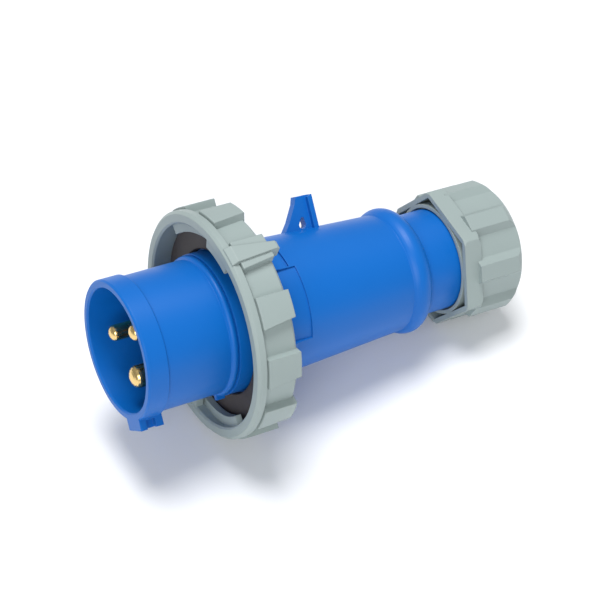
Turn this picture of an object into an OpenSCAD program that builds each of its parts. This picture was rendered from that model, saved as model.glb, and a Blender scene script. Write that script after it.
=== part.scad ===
// Industrial pin and sleeve plug, 16 A, two poles and earth, with a bayonet locking ring.
// X runs along the plug from its mouth to the cable entry before the plug is laid down.
// Angles round the axis start at the hook (12 o'clock) and grow towards the back (+Y).
// The origin is the centre of the sleeve's mouth, and the plug lies as it rests on a floor.

/* [Sleeve] */
// Outer radius of the raised band at the mouth
band_r = 22.0; // [21.8:0.1:22.6]
// Length of the raised band
band_len = 6.9; // [5:0.1:9]
// Outer radius of the sleeve behind the band
sleeve_r = 21.2; // [20.8:0.1:21.5]
// Inner radius of the sleeve
sleeve_bore_r = 19.45; // [19:0.05:19.8]
// Depth of the sleeve from the mouth to its floor
sleeve_depth = 36.4; // [35:0.1:37]
// Radius of the stepped flange at the foot of the sleeve
flange_r = 22.9; // [22.5:0.1:23.5]

/* [Contacts] */
// Radius of the circle that the pins stand on
pin_circle_r = 9.2; // [8.5:0.05:9.5]
// Radius of a line or neutral pin
pin_r = 2.5; // [2.3:0.05:2.7]
// Radius of the earth pin
earth_r = 3.5; // [3.3:0.05:3.7]
// Distance of the pin tips inside the mouth
pin_inset = 2.5; // [1.5:0.1:4]

/* [Locking ring] */
// Station of the ring's front face
ring_x = 28.8; // [28:0.1:29.5]
// Length of the ring
ring_len = 14.2; // [14:0.1:14.6]
// Inner radius of the ring's mouth
ring_mouth_r = 32.2; // [31.8:0.1:32.6]
// Radius of the plain rim in front of the grips
rim_r = 36.1; // [35.8:0.1:36.3]
// Radius over the grip pads
pad_r = 36.8; // [36.6:0.1:37.2]
// Radius between the grip pads
groove_r = 34.5; // [34.2:0.1:34.8]
// Number of grip places round the ring
pad_count = 12; // [12:1:12]
// Turn of the ring from unlocked to locked, in degrees
ring_turn = 60; // [30:5:90]

/* [Housing] */
// Outer radius of the housing just behind the ring
house_r = 21.5; // [21.3:0.1:22]
// Outer radius of the housing at the collar
house_end_r = 19.1; // [18.8:0.1:19.3]
// Distance from the collar's crest to the gland nut
neck_len = 15.8; // [15:0.1:17]
// Radius of the collar's crest
collar_r = 20.6; // [20.3:0.1:21]
// Radius of the neck behind the collar
neck_r = 16.5; // [16.4:0.1:16.8]
// Height of the hook's tip above the axis
hook_h = 30.8; // [28:0.1:33]

/* [Gland nut] */
// Length of the nut
nut_len = 24.4; // [23:0.1:26]
// Length of the hexagonal skirt
skirt_len = 6.2; // [5:0.1:7]
// Corner radius of the hexagonal skirt
hex_r = 23.0; // [22.6:0.1:23.4]
// Radius over the nut's eight crests
crest_r = 21.9; // [21.5:0.1:22.2]
// Overall length of the plug
plug_len = 138; // [137:0.1:140]

/* [Lying on the floor] */
// How far the hook leans back from upright, in degrees
hook_lean = 41.5; // [41.5:0.5:41.5]

/* [Hidden] */
$fn = 96;

blue = [0.09, 0.36, 0.78];
grey = [0.61, 0.66, 0.65];
black = [0.13, 0.12, 0.12];
brass = [0.85, 0.66, 0.32];
steel = [0.70, 0.71, 0.72];
cream = [0.85, 0.84, 0.80];

// clearances
slip = 0.05;
run = 0.3;
eps = 0.01;

// stations along the axis, front to back
bead_x = 29.2;
gasket_x = 34.4;
gasket_t = 2.5;
disc_x = gasket_x + gasket_t;
disc_t = 2.5;
hub_x = disc_x + disc_t;
wall_back_x = hub_x + 1.6;
joint_x = ring_x + ring_len + run;
skirt_end_x = joint_x + 11;
nut_x = plug_len - nut_len;
nut_end_x = plug_len;
collar_x = nut_x - neck_len;
collar_front_x = collar_x - 5.2;
neck_end_x = nut_x + 13.5;

// radii that follow from the ones above
disc_r = ring_mouth_r - 1.6;
gasket_r = ring_mouth_r - 0.9;
hub_r = 25.05;
skirt_r = 19.05;
skirt_bore_r = 17.2;
shoulder_r = 27.4;
neck_bore_r = 12.8;
thread_r = 16.0;
cable_r = 6.5;

// bayonet parts
cam_mid = -47;
cam_half = 11;
cam_in_r = 29.2;
stop_half = 5;
stop_r = 23.7;

// grips: the pads straddle the floor's direction, so that two of them carry the ring
down = 180 - hook_lean;
pad_pitch = 360 / pad_count;
pad_phase = down + pad_pitch / 2;
pad_front_half = 7.6;
pad_back_half = 5.4;
pad_x = ring_x + 3.3;
marker_place = -57;

// nut crests straddle the floor's direction too
crest_count = 8;
crest_pitch = 360 / crest_count;
nut_phase = down + crest_pitch / 2;
crest_half = 7;
valley_r = 19.7;
valley_half = 12.5;
nut_round_x = plug_len - 5.2;

// contacts
line_at = 60;
neutral_at = -60;
earth_at = 180;
barrel_len = 15;
barrel_extra = 1.6;
root_extra = 0.3;
boss_front_x = sleeve_depth - 1.4;
shoulder_t = 1.8;

// The rest pose: the ring's rear pad corners and the nut's rear crest edges touch the floor.
ring_low = pad_r * cos(pad_pitch / 2 - pad_front_half);
nut_low = crest_r * cos(crest_pitch / 2 - crest_half);
rest_tilt = atan((ring_low - nut_low) / (nut_round_x - (ring_x + ring_len)));

module lay() {
    rotate([0, rest_tilt, 0]) rotate([-hook_lean, 0, 0]) children();
}

// Turns a profile of [radius, station] points about the axis.
module turned() {
    rotate([0, 90, 0]) rotate_extrude() children();
}

// The same over part of the circle, between two angles.
module turned_arc(from, to) {
    rotate([0, 90, 0]) rotate([0, 0, 180 - to]) rotate_extrude(angle = to - from) children();
}

// Moves what stands at 12 o'clock to another angle.
module at(angle) {
    rotate([-angle, 0, 0]) children();
}

module tube(from, to, inner, outer) {
    turned() polygon([[inner, from], [outer, from], [outer, to], [inner, to]]);
}

module rod(from, to, radius) {
    translate([from, 0, 0]) rotate([0, 90, 0]) cylinder(h = to - from, r = radius);
}

// Stands at a contact's place on the pin circle.
module at_contact(angle) {
    at(angle) translate([0, 0, pin_circle_r]) children();
}

// A flat outline in [station, sideways] raised outwards from one radius to another.
module raised(low, high) {
    translate([0, 0, low]) linear_extrude(high - low) children();
}

// ---- sleeve with its pin wall, hub and skirt ----

module sleeve_body() {
    turned() polygon([
        [sleeve_bore_r + 0.5, 0], [band_r - 0.5, 0], [band_r, 0.5], [band_r, band_len - 0.2],
        [band_r - 0.2, band_len], [sleeve_r, band_len], [sleeve_r, disc_x - 0.5], [flange_r, disc_x - 0.5],
        [flange_r, disc_x], [disc_r, disc_x], [disc_r, hub_x], [hub_r, hub_x], [hub_r, joint_x],
        [skirt_r, joint_x], [skirt_r, skirt_end_x - 0.6], [skirt_r - 0.6, skirt_end_x],
        [skirt_bore_r, skirt_end_x], [skirt_bore_r, wall_back_x], [0, wall_back_x], [0, sleeve_depth],
        [sleeve_bore_r, sleeve_depth], [sleeve_bore_r, 0.5]
    ]);
}

module bead() {
    turned() intersection() {
        translate([sleeve_r - 0.4, bead_x]) circle(r = 1.35);
        translate([sleeve_r - 1, bead_x - 2]) square([3, 4]);
    }
    tube(bead_x + 1.2, gasket_x, sleeve_r - 1, flange_r - 0.5);
}

module flange_foot() {
    tube(gasket_x - 0.6, disc_x, sleeve_r - 1, flange_r - 0.5);
}

// The key at 6 o'clock: two plates with a pocket between them.
key_half = 4.6;
key_h = 4.6;
key_back = 7.6;
module key() {
    at(180) difference() {
        translate([0, -key_half, sleeve_r - 1]) cube([key_back, 2 * key_half, key_h]);
        translate([2.2, -key_half - 1, band_r]) cube([3.0, 3.2, key_h]);
        translate([2.2, key_half - 2.2, band_r]) cube([3.0, 3.2, key_h]);
    }
}

module nib() {
    at(180) translate([bead_x - 1.2, -0.8, sleeve_r - 1]) cube([2.8, 1.6, 3.0]);
}

module contact_hole(angle, radius) {
    at_contact(angle) rod(boss_front_x - 1, wall_back_x + 1, radius + root_extra + slip);
}

// Raised collar round each contact on the sleeve's floor.
module contact_boss(angle, radius) {
    at_contact(angle) rod(boss_front_x, sleeve_depth + 1, radius + 1.5);
}

boss_at = [120, -120];
boss_circle_r = 9.4;
boss_h = 3.6;
module carrier_boss(angle) {
    at(angle) translate([0, 0, boss_circle_r]) rod(wall_back_x - 0.5, wall_back_x + boss_h, 2.6);
}

module sleeve() {
    color(blue) lay() difference() {
        union() {
            sleeve_body();
            bead();
            flange_foot();
            key();
            nib();
            contact_boss(line_at, pin_r);
            contact_boss(neutral_at, pin_r);
            contact_boss(earth_at, earth_r);
            for (a = boss_at) carrier_boss(a);
        }
        contact_hole(line_at, pin_r);
        contact_hole(neutral_at, pin_r);
        contact_hole(earth_at, earth_r);
        for (a = boss_at) at(a) translate([0, 0, boss_circle_r])
            rod(wall_back_x - 1, wall_back_x + 5, 1.25);
        // groove for the seal in the hub's rear face
        tube(joint_x - 1.7, joint_x + 1, seal_mid_r - 0.95, seal_mid_r + 0.95);
        // channel in which the locking ring's stop runs
        turned_arc(stop_from - 1, stop_to + 1) polygon([
            [stop_r - 0.3, hub_x + eps], [hub_r + 1, hub_x + eps], [hub_r + 1, joint_x + 1], [stop_r - 0.3, joint_x + 1]
        ]);
    }
}

// ---- seals ----

seal_mid_r = 21.4;
module housing_seal() {
    color(black) lay() turned() translate([seal_mid_r, joint_x - 0.85]) circle(r = 0.85, $fn = 32);
}

module flange_gasket() {
    color(black) lay() turned() polygon([
        [flange_r + 0.1, gasket_x + 0.3], [flange_r + 0.4, gasket_x], [gasket_r - 0.5, gasket_x],
        [gasket_r, gasket_x + 0.5], [gasket_r, disc_x], [flange_r + 0.1, disc_x]
    ]);
}

// ---- locking ring ----

ring_back_x = ring_x + ring_len;
stop_mid = 30;
stop_from = stop_mid - stop_half;
stop_to = stop_mid + stop_half + ring_turn;

module ring_body() {
    turned() polygon([
        [ring_mouth_r + 0.6, ring_x], [rim_r - 0.9, ring_x], [rim_r, ring_x + 0.9], [rim_r, pad_x - 0.4],
        [groove_r, pad_x + 0.5], [groove_r, ring_back_x - 0.8], [groove_r - 0.8, ring_back_x],
        [hub_r + run, ring_back_x], [hub_r + run, hub_x + run], [disc_r + run, hub_x + run],
        [ring_mouth_r, hub_x - 1.4], [ring_mouth_r, ring_x + 0.6]
    ]);
}

// One grip pad's outline, wider at the front than at the back.
module pad_outline() {
    front = 2 * PI * pad_r * pad_front_half / 360;
    back = 2 * PI * pad_r * pad_back_half / 360;
    polygon([[pad_x, -front], [ring_back_x, -back], [ring_back_x, front], [pad_x, front]]);
}

module grips() {
    intersection() {
        turned() polygon([
            [groove_r - 1, pad_x - 0.4], [pad_r - 0.5, pad_x - 0.4], [pad_r, pad_x + 0.2],
            [pad_r, ring_back_x - 0.1], [pad_r - 0.1, ring_back_x], [groove_r - 1, ring_back_x]
        ]);
        for (i = [0 : pad_count - 1]) at(pad_phase + i * pad_pitch)
            raised(groove_r - 4, pad_r + 2) pad_outline();
    }
}

// The marker that shows the ring's position: a rounded rib that narrows to the back.
module marker() {
    intersection() {
        at(marker_place) union() {
            raised(groove_r - 4, pad_r + 3)
                polygon([[ring_x + 0.6, -2.4], [ring_x + 0.6, 3.8], [ring_back_x + 2.8, 1.2], [ring_back_x + 2.8, -1.2]]);
        }
        turned() polygon([
            [groove_r - 1.6, ring_x + 0.6], [rim_r + 0.2, ring_x + 0.6], [rim_r + 1.4, ring_x + 2.4],
            [rim_r + 1.4, ring_back_x + 2], [rim_r + 0.6, ring_back_x + 2.8], [groove_r - 1.6, ring_back_x + 2.8]
        ]);
    }
}

// A bayonet cam at the ring's mouth, and the ramp that leads on from it.
module cam(angle) {
    turned_arc(angle - cam_half, angle + cam_half) polygon([
        [cam_in_r + 0.5, ring_x + 0.3], [ring_mouth_r + 1, ring_x + 0.3], [ring_mouth_r + 1, ring_x + 2.8],
        [cam_in_r, ring_x + 2.8], [cam_in_r, ring_x + 0.8]
    ]);
    intersection() {
        turned_arc(angle + cam_half - 2, angle + cam_half + 46) polygon([
            [cam_in_r, ring_x], [ring_mouth_r + 1, ring_x], [ring_mouth_r + 1, gasket_x], [cam_in_r, gasket_x]
        ]);
        at(angle + cam_half + 22) translate([ring_x + 2.5, 0, 25]) rotate([0, 0, 4])
            translate([0, -30, 0]) cube([2.2, 60, 12]);
    }
}

// The stop that limits the ring's turn.
module stop_lug() {
    turned_arc(stop_mid - stop_half, stop_mid + stop_half) polygon([
        [stop_r, hub_x + 0.6], [hub_r + 1.2, hub_x + 0.6], [hub_r + 1.2, ring_back_x - 0.4], [stop_r, ring_back_x - 0.4]
    ]);
}

module locking_ring() {
    color(grey) lay() union() {
        ring_body();
        grips();
        marker();
        cam(cam_mid);
        cam(cam_mid + 180);
        stop_lug();
    }
}

// ---- housing ----

// Points of an arc in a [radius, station] profile, from one angle to another.
function arc(mid_r, mid_x, radius, from, to, steps) = [
    for (i = [0 : steps]) let (a = from + (to - from) * i / steps)
        [mid_r + radius * sin(a), mid_x - radius * cos(a)]
];

collar_round = 4.4;
collar_mid_r = collar_r - collar_round;
collar_front = acos(sqrt(1 - pow((house_end_r - collar_mid_r) / collar_round, 2)));
collar_back = 180 - asin((neck_r - collar_mid_r) / collar_round);

module housing_outside() {
    turned() polygon(concat(
        [[0, joint_x + slip], [shoulder_r - 0.4, joint_x + slip], [shoulder_r, joint_x + 0.5],
         [shoulder_r, joint_x + 2.2], [house_r + 0.6, joint_x + 5.6], [house_r, joint_x + 7.6]],
        arc(collar_mid_r, collar_x, collar_round, collar_front, collar_back, 14),
        [[neck_r, nut_x + 1.2], [thread_r, nut_x + 1.2], [thread_r, neck_end_x - 0.6],
         [thread_r - 0.6, neck_end_x], [0, neck_end_x]]
    ));
}

module housing_inside() {
    turned() polygon([
        [0, joint_x - 1], [skirt_r + slip, joint_x - 1], [skirt_r + slip, skirt_end_x + 1.5],
        [house_r - 3.2, skirt_end_x + 2.5], [house_end_r - 2.8, collar_front_x],
        [neck_bore_r, collar_x + 4], [neck_bore_r, neck_end_x + 1], [0, neck_end_x + 1]
    ]);
}

// The hook above the ring: a fin with a hole and a stiff back edge.
hook_x = 63.8;
hook_back_x = 74.9;
fin_half = 1.6;
rib_half = 3.2;
module hook() {
    rotate([90, 0, 0]) translate([0, 0, -fin_half]) linear_extrude(2 * fin_half) difference() {
        polygon([
            [hook_x - 1.2, house_r - 2.5], [hook_x, house_r - 0.7], [hook_x + 2.2, house_r + 2],
            [hook_x + 3.9, house_r + 4.7], [hook_x + 5.4, hook_h - 2.2], [hook_x + 6.2, hook_h],
            [hook_back_x, hook_h - 0.2], [hook_back_x, house_r - 3]
        ]);
        hull() {
            translate([hook_x + 6.9, house_r + 2.2]) circle(r = 0.5, $fn = 24);
            translate([hook_x + 6.4, house_r + 0.3]) circle(r = 1.2, $fn = 24);
        }
    }
    rotate([90, 0, 0]) translate([0, 0, -rib_half]) linear_extrude(2 * rib_half)
        polygon([
            [hook_back_x - 1.6, house_r - 3], [hook_back_x - 1.6, hook_h - 0.8],
            [hook_back_x, hook_h - 0.2], [hook_back_x, house_r - 3]
        ]);
}

// The bare recess for a label on the near side, reaching under the ring.
label_at = -89;
label_half = 32;
label_end_x = 56;
module label_recess() {
    recess_r = house_r - 0.75;
    turned_arc(label_at - label_half, label_at + label_half) polygon([
        [recess_r, joint_x + 4], [house_r + 8, joint_x + 4], [house_r + 8, label_end_x], [recess_r, label_end_x]
    ]);
}

// A short curved groove beside the recess.
module side_groove() {
    turned_arc(-56, -35) polygon([
        [house_r - 0.9, 53.2], [house_r + 2, 53.2], [house_r + 2, 54.1], [house_r - 0.9, 54.1]
    ]);
}

module housing() {
    color(blue) lay() difference() {
        union() {
            housing_outside();
            hook();
        }
        housing_inside();
        label_recess();
        side_groove();
    }
}

// ---- contacts and their carrier ----

// A domed pin with a shoulder behind the wall and a drilled barrel for the wire.
module contact(angle, radius) {
    tip = pin_inset;
    root_r = radius + root_extra;
    root_x = boss_front_x - slip;
    barrel_r = radius + barrel_extra;
    shoulder_x = wall_back_x + slip;
    barrel_end = shoulder_x + shoulder_t + barrel_len;
    at_contact(angle) difference() {
        union() {
            turned() polygon(concat(
                [[0, tip]],
                [for (i = [1 : 6]) [radius * sin(15 * i), tip + radius * 0.7 * (1 - cos(15 * i))]],
                [[radius, root_x], [root_r, root_x], [root_r, shoulder_x],
                 [barrel_r + 1, shoulder_x], [barrel_r + 1, shoulder_x + shoulder_t],
                 [barrel_r, shoulder_x + shoulder_t], [barrel_r, barrel_end], [0, barrel_end]]
            ));
        }
        rod(barrel_end - 9, barrel_end + 1, radius * 0.76);
        translate([barrel_end - 4.5, 0, 0]) cylinder(h = 10, r = 1.6);
    }
}

// The screw stands on the outer side of its barrel.
module contact_screw(angle, radius) {
    barrel_end = wall_back_x + slip + shoulder_t + barrel_len;
    at_contact(angle) translate([barrel_end - 4.5, 0, radius * 0.5]) difference() {
        cylinder(h = 5.2, r = 1.55);
        translate([-2, -0.3, 4.3]) cube([4, 0.6, 2]);
    }
}

module line_pin() color(brass) lay() contact(line_at, pin_r);
module neutral_pin() color(brass) lay() contact(neutral_at, pin_r);
module earth_pin() color(brass) lay() contact(earth_at, earth_r);
module line_screw() color(steel) lay() contact_screw(line_at, pin_r);
module neutral_screw() color(steel) lay() contact_screw(neutral_at, pin_r);
module earth_screw() color(steel) lay() contact_screw(earth_at, earth_r);

carrier_x = wall_back_x + boss_h + slip;
carrier_t = 4.5;
collar_front_stop = wall_back_x + shoulder_t + 2 * slip;
module carrier_hole(angle, radius) {
    at_contact(angle) rod(collar_front_stop - 1, carrier_x + carrier_t + 1, radius + barrel_extra + 0.1);
}

// Stands on a contact's shoulder and holds it against the wall.
module carrier_collar(angle, radius) {
    at_contact(angle) rod(collar_front_stop, carrier_x + 1, radius + barrel_extra + 1.1);
}

module contact_carrier() {
    color(cream) lay() difference() {
        union() {
            rod(carrier_x, carrier_x + carrier_t, skirt_bore_r - 0.2);
            carrier_collar(line_at, pin_r);
            carrier_collar(neutral_at, pin_r);
            carrier_collar(earth_at, earth_r);
        }
        carrier_hole(line_at, pin_r);
        carrier_hole(neutral_at, pin_r);
        carrier_hole(earth_at, earth_r);
        for (a = boss_at) at(a) translate([0, 0, boss_circle_r])
            rod(carrier_x - 1, carrier_x + carrier_t + 1, 1.7);
    }
}

module carrier_screw(angle) {
    at(angle) translate([0, 0, boss_circle_r]) difference() {
        turned() polygon([
            [0, wall_back_x - 0.5], [1.2, wall_back_x - 0.5], [1.2, carrier_x + carrier_t + slip],
            [2.8, carrier_x + carrier_t + slip], [2.8, carrier_x + carrier_t + 1.6],
            [2.0, carrier_x + carrier_t + 2.4], [0, carrier_x + carrier_t + 2.4]
        ]);
        translate([carrier_x + carrier_t + 1.4, -0.35, -4]) cube([3, 0.7, 8]);
        translate([carrier_x + carrier_t + 1.4, -4, -0.35]) cube([3, 8, 0.7]);
    }
}

module carrier_screw_1() color(steel) lay() carrier_screw(boss_at[0]);
module carrier_screw_2() color(steel) lay() carrier_screw(boss_at[1]);

// ---- cable gland ----

cage_x = neck_end_x + slip;
cage_flange_t = 2;
cage_end_x = nut_end_x - 3.4;
cage_bore_r = 9.5;
cage_root_r = 12.3;
cage_tip_r = 11.4;
bush_x = nut_x - 0.6;
washer_x = cage_x + cage_flange_t + slip;
washer_t = 1;
nut_shoulder_x = washer_x + washer_t + slip;

module seal_bush() {
    color(black) lay() turned() polygon([
        [cable_r + 1.2, bush_x], [neck_bore_r - 0.6, bush_x], [neck_bore_r - slip, bush_x + 0.6],
        [neck_bore_r - slip, neck_end_x - 0.3], [cage_bore_r - 0.1, neck_end_x - 0.3],
        [cage_bore_r - 0.1, cage_end_x - 1],
        [cable_r + 0.8, cage_end_x - 1], [cable_r, cage_end_x - 2], [cable_r, bush_x + 1.4]
    ]);
}

// A split cage: the nut closes its fingers on the bush.
module clamping_cage() {
    color(grey) lay() difference() {
        turned() polygon([
            [cage_bore_r, cage_x], [thread_r - 0.7, cage_x], [thread_r - 0.7, cage_x + cage_flange_t],
            [cage_root_r, cage_x + cage_flange_t], [cage_tip_r, cage_end_x], [cage_bore_r, cage_end_x]
        ]);
        for (i = [0 : 7]) at(i * 45) translate([cage_x + cage_flange_t + 0.6, -0.6, 8]) cube([8, 1.2, 6]);
    }
}

module thrust_washer() {
    color(cream) lay() tube(washer_x, washer_x + washer_t, cage_root_r + 0.4, thread_r - 0.5);
}

// The eight-crested section of the nut's body.
module crest_section() {
    polygon([
        for (i = [0 : crest_count - 1], p = [[-valley_half, valley_r], [-crest_half, crest_r],
                [crest_half, crest_r], [valley_half, valley_r]])
            let (a = i * crest_pitch + p[0]) [-p[1] * cos(a), p[1] * sin(a)]
    ]);
}

module nut_body() {
    intersection() {
        at(nut_phase) rotate([0, 90, 0]) linear_extrude(nut_end_x) crest_section();
        turned() polygon([
            [0, nut_x + skirt_len - 1.5], [crest_r + 1, nut_x + skirt_len - 1.5], [crest_r + 1, nut_round_x - 1],
            [crest_r, nut_round_x], [crest_r - 0.9, nut_round_x + 1.4], [crest_r - 2.6, nut_round_x + 3.0],
            [crest_r - 4.9, nut_end_x - 0.7], [crest_r - 5.9, nut_end_x], [0, nut_end_x]
        ]);
    }
}

module nut_skirt() {
    intersection() {
        at(nut_phase) translate([nut_x, 0, 0]) rotate([0, 90, 0]) rotate([0, 0, 180])
            cylinder(h = skirt_len, r = hex_r, $fn = 6);
        turned() polygon([
            [0, nut_x], [hex_r - 0.7, nut_x], [hex_r - 0.1, nut_x + 0.8], [hex_r - 0.1, nut_x + skirt_len - 0.8],
            [hex_r - 1, nut_x + skirt_len], [0, nut_x + skirt_len]
        ]);
    }
}

skirt_wall = 1.9;
pocket_r = 18.3;
module nut_pockets() {
    difference() {
        at(nut_phase) translate([nut_x - 1, 0, 0]) rotate([0, 90, 0]) rotate([0, 0, 180])
            cylinder(h = skirt_len, r = hex_r - skirt_wall, $fn = 6);
        rod(nut_x - 2, nut_x + skirt_len, pocket_r);
    }
}

module gland_nut() {
    color(grey) lay() difference() {
        union() {
            nut_body();
            nut_skirt();
        }
        nut_pockets();
        turned() polygon([
            [0, nut_x - 1], [neck_r + 0.8, nut_x - 1], [neck_r + 0.2, nut_x + 1.6], [thread_r + 0.1, nut_x + 1.8],
            [thread_r + 0.1, nut_shoulder_x], [cage_root_r + 0.7, nut_shoulder_x],
            [cage_tip_r + 0.8, cage_end_x + 0.6],
            [9.2, cage_end_x + 0.6], [8.7, nut_end_x - 1.6], [10, nut_end_x + eps], [0, nut_end_x + eps]
        ]);
    }
}

sleeve();
housing();
locking_ring();
flange_gasket();
housing_seal();
line_pin();
neutral_pin();
earth_pin();
line_screw();
neutral_screw();
earth_screw();
contact_carrier();
carrier_screw_1();
carrier_screw_2();
gland_nut();
thrust_washer();
clamping_cage();
seal_bush();
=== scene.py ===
"""Looks of an industrial pin and sleeve plug: finishes, stage and camera."""

import math

import bpy
from mathutils import Matrix, Vector


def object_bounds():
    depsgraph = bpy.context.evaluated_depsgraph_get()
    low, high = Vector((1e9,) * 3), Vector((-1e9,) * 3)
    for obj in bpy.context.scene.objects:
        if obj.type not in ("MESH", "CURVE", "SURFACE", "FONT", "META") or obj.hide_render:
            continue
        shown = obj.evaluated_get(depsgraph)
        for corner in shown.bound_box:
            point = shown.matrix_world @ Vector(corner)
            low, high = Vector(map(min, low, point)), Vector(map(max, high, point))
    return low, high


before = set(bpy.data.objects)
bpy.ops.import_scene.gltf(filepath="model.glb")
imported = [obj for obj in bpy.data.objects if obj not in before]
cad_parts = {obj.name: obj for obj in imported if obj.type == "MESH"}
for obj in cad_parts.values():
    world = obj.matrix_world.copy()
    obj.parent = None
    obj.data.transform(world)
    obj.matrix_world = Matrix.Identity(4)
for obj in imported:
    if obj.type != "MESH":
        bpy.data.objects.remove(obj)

bl_info = {
    "name": "Pin and sleeve plug",
    "version": (1, 0, 0),
    "blender": (4, 5, 0),
    "location": "View3D > Sidebar > Plug",
    "description": "Dresses the plug's parts and sets the stage",
    "category": "Object",
}

SOLID_BOUNDS = [list(corner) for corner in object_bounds()]
FLOOR_Z = min(corner[2] for corner in SOLID_BOUNDS)

CREAM = (0.75, 0.73, 0.68)
STEEL = (0.60, 0.61, 0.62)
FLOOR_COLOUR = (0.88, 0.885, 0.90, 1)
FLOOR_SIZE = 6
ROOM_COLOUR = (0.94, 0.97, 1.0, 1)
ROOM_STRENGTH = 0.38
SENSOR_WIDTH = 36
GRAIN_DEPTH = 0.0002

# Each lamp's name, place, point it faces, width in metres and power in watts.
LAMPS = (
    ("key", (0.15, 0.25, 1.60), (0.06, 0, 0), 0.9, 25.0),
    ("fill", (-0.60, -0.95, 0.75), (0.05, 0, 0), 0.9, 9.0),
)


class PlugColours(bpy.types.PropertyGroup):
    blue: bpy.props.FloatVectorProperty(
        name="Blue", description="Colour of the sleeve and housing",
        subtype="COLOR", size=3, default=(0.0015, 0.125, 0.480), min=0, max=1)
    grey: bpy.props.FloatVectorProperty(
        name="Grey", description="Colour of the ring and the gland nut",
        subtype="COLOR", size=3, default=(0.300, 0.360, 0.352), min=0, max=1)
    rubber: bpy.props.FloatVectorProperty(
        name="Rubber", description="Colour of the seals",
        subtype="COLOR", size=3, default=(0.030, 0.024, 0.024), min=0, max=1)
    brass: bpy.props.FloatVectorProperty(
        name="Brass", description="Colour of the contacts",
        subtype="COLOR", size=3, default=(0.86, 0.62, 0.26), min=0, max=1)


class PlugStage(bpy.types.PropertyGroup):
    azimuth: bpy.props.FloatProperty(
        name="Azimuth", description="Camera's turn about the vertical", subtype="ANGLE",
        default=math.radians(-28.5))
    elevation: bpy.props.FloatProperty(
        name="Elevation", description="Camera's height angle", subtype="ANGLE",
        default=math.radians(46.6))
    roll: bpy.props.FloatProperty(
        name="Roll", description="Camera's turn about its own view", subtype="ANGLE",
        default=math.radians(-1.7))
    distance: bpy.props.FloatProperty(
        name="Distance", description="From the camera to the plug",
        subtype="DISTANCE", unit="LENGTH", default=0.632, min=0.2, max=3)
    lens: bpy.props.FloatProperty(
        name="Lens", description="Focal length in millimetres",
        default=121.2, min=35, max=300)
    aim: bpy.props.FloatVectorProperty(
        name="Aim", description="Point that the camera looks at",
        subtype="XYZ", unit="LENGTH", size=3, default=(0.0629, -0.0006, -0.0113))


# ---- materials ----

def new_material(name):
    material = bpy.data.materials.new(name)
    material.use_nodes = True
    nodes = material.node_tree.nodes
    return material, nodes, material.node_tree.links, nodes["Principled BSDF"]


def noise(nodes, links, scale, detail):
    """Noise that keeps to the piece, at so many waves a metre."""
    coords = nodes.new("ShaderNodeTexCoord")
    texture = nodes.new("ShaderNodeTexNoise")
    texture.inputs["Scale"].default_value = scale
    texture.inputs["Detail"].default_value = detail
    links.new(coords.outputs["Object"], texture.inputs["Vector"])
    return texture.outputs["Fac"]


def tint(nodes, links, shader, mask, dark, light):
    """Varies the base colour between two shades."""
    mix = nodes.new("ShaderNodeMixRGB")
    mix.inputs["Color1"].default_value = (*dark, 1)
    mix.inputs["Color2"].default_value = (*light, 1)
    links.new(mask, mix.inputs["Fac"])
    links.new(mix.outputs["Color"], shader.inputs["Base Color"])


def shade_of(colour, factor):
    return [min(channel * factor, 1) for channel in colour]


def vary_roughness(nodes, links, shader, mask, low, high):
    span = nodes.new("ShaderNodeMapRange")
    span.inputs["To Min"].default_value = low
    span.inputs["To Max"].default_value = high
    links.new(mask, span.inputs["Value"])
    links.new(span.outputs["Result"], shader.inputs["Roughness"])


def add_bump(nodes, links, shader, height, strength):
    bump = nodes.new("ShaderNodeBump")
    bump.inputs["Strength"].default_value = strength
    bump.inputs["Distance"].default_value = GRAIN_DEPTH
    links.new(height, bump.inputs["Height"])
    links.new(bump.outputs["Normal"], shader.inputs["Normal"])
    return bump


def moulded_plastic(name, colour, roughness, edge_radius):
    """Moulded plastic: fine spark-eroded grain, faint flow marks and softly broken edges."""
    material, nodes, links, shader = new_material(name)
    flow = noise(nodes, links, 38, 3)
    tint(nodes, links, shader, flow, shade_of(colour, 0.95), shade_of(colour, 1.05))
    vary_roughness(nodes, links, shader, flow, roughness - 0.04, roughness + 0.05)
    bump = add_bump(nodes, links, shader, noise(nodes, links, 2600, 2), 0.08)
    bevel = nodes.new("ShaderNodeBevel")
    bevel.samples = 6
    bevel.inputs["Radius"].default_value = edge_radius
    links.new(bevel.outputs["Normal"], bump.inputs["Normal"])
    shader.inputs["IOR"].default_value = 1.5
    shader.inputs["Specular IOR Level"].default_value = 0.28
    return material


def rubber(name, colour):
    """Matt rubber with a little dust."""
    material, nodes, links, shader = new_material(name)
    dust = noise(nodes, links, 160, 5)
    tint(nodes, links, shader, dust, colour, shade_of(colour, 1.7))
    shader.inputs["Roughness"].default_value = 0.62
    add_bump(nodes, links, shader, dust, 0.15)
    return material


def turned_metal(name, colour, roughness):
    """Bright metal with faint marks of the lathe."""
    material, nodes, links, shader = new_material(name)
    marks = noise(nodes, links, 900, 3)
    tint(nodes, links, shader, marks, shade_of(colour, 0.9), colour)
    shader.inputs["Metallic"].default_value = 1
    vary_roughness(nodes, links, shader, marks, roughness - 0.05, roughness + 0.06)
    return material


def dress(names, material):
    for name in names:
        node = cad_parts[name]
        for slot in node.material_slots:
            slot.material = material
        if not node.material_slots:
            node.data.materials.append(material)


class PLUG_OT_finish_blue(bpy.types.Operator):
    """Gives the sleeve and the housing their blue moulded plastic"""
    bl_idname = "plug.finish_blue"
    bl_label = "Finish blue parts"

    def execute(self, context):
        colours = context.scene.plug_colours
        blue = moulded_plastic("blue_plastic", colours.blue, 0.40, 0.0003)
        dress(["sleeve", "housing"], blue)
        return {"FINISHED"}


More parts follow.
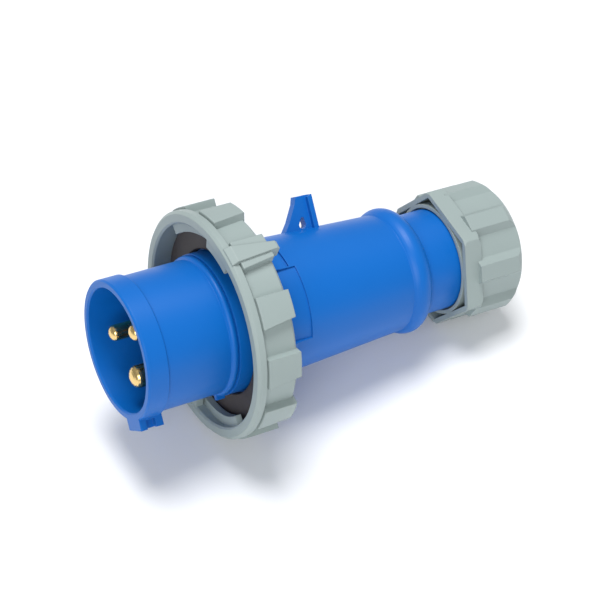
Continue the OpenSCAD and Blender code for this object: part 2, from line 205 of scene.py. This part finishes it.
class PLUG_OT_finish_grey(bpy.types.Operator):
    """Gives the ring, the gland nut and the cage their grey moulded plastic"""
    bl_idname = "plug.finish_grey"
    bl_label = "Finish grey parts"

    def execute(self, context):
        colours = context.scene.plug_colours
        grey = moulded_plastic("grey_plastic", colours.grey, 0.42, 0.0004)
        dress(["locking_ring", "gland_nut", "clamping_cage"], grey)
        cream = moulded_plastic("cream_plastic", CREAM, 0.5, 0.0003)
        dress(["contact_carrier", "thrust_washer"], cream)
        return {"FINISHED"}


class PLUG_OT_finish_seals(bpy.types.Operator):
    """Gives the seals their rubber"""
    bl_idname = "plug.finish_seals"
    bl_label = "Finish seals"

    def execute(self, context):
        colours = context.scene.plug_colours
        black = rubber("black_rubber", colours.rubber)
        dress(["flange_gasket", "housing_seal", "seal_bush"], black)
        return {"FINISHED"}


class PLUG_OT_finish_metal(bpy.types.Operator):
    """Gives the contacts their brass and the screws their steel"""
    bl_idname = "plug.finish_metal"
    bl_label = "Finish metal parts"

    def execute(self, context):
        colours = context.scene.plug_colours
        brass = turned_metal("brass", colours.brass, 0.24)
        dress(["line_pin", "neutral_pin", "earth_pin"], brass)
        steel = turned_metal("steel", STEEL, 0.32)
        dress(["line_screw", "neutral_screw", "earth_screw"], steel)
        dress(["carrier_screw_1", "carrier_screw_2"], steel)
        return {"FINISHED"}


class PLUG_OT_add_stage(bpy.types.Operator):
    """Adds the floor, the lights and the camera"""
    bl_idname = "plug.add_stage"
    bl_label = "Add stage"

    def execute(self, context):
        add_floor()
        add_lights()
        add_camera(context.scene.plug_stage)
        return {"FINISHED"}


def add_floor():
    bpy.ops.object.select_all(action="DESELECT")
    bpy.ops.mesh.primitive_plane_add(size=FLOOR_SIZE, location=(0, 0, FLOOR_Z))
    floor = bpy.context.object
    floor.name = "floor"
    bpy.ops.object.transform_apply(location=True, rotation=True, scale=True)
    material, _, _, shader = new_material("floor")
    shader.inputs["Base Color"].default_value = FLOOR_COLOUR
    shader.inputs["Roughness"].default_value = 0.6
    shader.inputs["Specular IOR Level"].default_value = 0.2
    floor.data.materials.append(material)


def add_area_light(name, place, target, size, power):
    light = bpy.data.lights.new(name, "AREA")
    light.shape = "DISK"
    light.size = size
    light.energy = power
    lamp = bpy.data.objects.new(name, light)
    bpy.context.scene.collection.objects.link(lamp)
    lamp.location = place
    lamp.rotation_euler = (Vector(target) - Vector(place)).to_track_quat("-Z", "Y").to_euler()


def add_lights():
    world = bpy.data.worlds.new("soft_room")
    world.use_nodes = True
    background = world.node_tree.nodes["Background"]
    background.inputs["Color"].default_value = ROOM_COLOUR
    background.inputs["Strength"].default_value = ROOM_STRENGTH
    bpy.context.scene.world = world
    for lamp in LAMPS:
        add_area_light(*lamp)


def add_camera(stage):
    camera_data = bpy.data.cameras.new("camera")
    camera_data.lens = stage.lens
    camera_data.sensor_width = SENSOR_WIDTH
    camera = bpy.data.objects.new("camera", camera_data)
    bpy.context.scene.collection.objects.link(camera)
    a, e = stage.azimuth, stage.elevation
    back = Vector((math.sin(a) * math.cos(e), -math.cos(a) * math.cos(e), math.sin(e)))
    right = Vector((math.cos(a), math.sin(a), 0))
    up = back.cross(right)
    turned_right = right * math.cos(stage.roll) + up * math.sin(stage.roll)
    turned_up = up * math.cos(stage.roll) - right * math.sin(stage.roll)
    place = Vector(stage.aim) + back * stage.distance
    turn = Matrix((turned_right, turned_up, back)).transposed().to_4x4()
    camera.matrix_world = Matrix.Translation(place) @ turn
    bpy.context.scene.camera = camera


class PLUG_PT_build(bpy.types.Panel):
    """Lists the plug's colours and steps in the sidebar"""
    bl_idname = "PLUG_PT_build"
    bl_label = "Plug"
    bl_space_type = "VIEW_3D"
    bl_region_type = "UI"
    bl_category = "Plug"

    def draw(self, context):
        layout = self.layout
        for group in (context.scene.plug_colours, context.scene.plug_stage):
            box = layout.box()
            for name in group.__annotations__:
                box.prop(group, name)
        for step in STEPS:
            layout.operator("plug." + step)


STEPS = ("finish_blue", "finish_grey", "finish_seals", "finish_metal", "add_stage")

CLASSES = (
    PlugColours,
    PlugStage,
    PLUG_OT_finish_blue,
    PLUG_OT_finish_grey,
    PLUG_OT_finish_seals,
    PLUG_OT_finish_metal,
    PLUG_OT_add_stage,
    PLUG_PT_build,
)


def register():
    for cls in CLASSES:
        bpy.utils.register_class(cls)
    bpy.types.Scene.plug_colours = bpy.props.PointerProperty(type=PlugColours)
    bpy.types.Scene.plug_stage = bpy.props.PointerProperty(type=PlugStage)


def unregister():
    del bpy.types.Scene.plug_stage
    del bpy.types.Scene.plug_colours
    for cls in reversed(CLASSES):
        bpy.utils.unregister_class(cls)


def main():
    register()
    scene = bpy.context.scene
    scene.view_settings.view_transform = "Standard"
    for step in STEPS:
        getattr(bpy.ops.plug, step)()


if __name__ == "__main__":
    main()
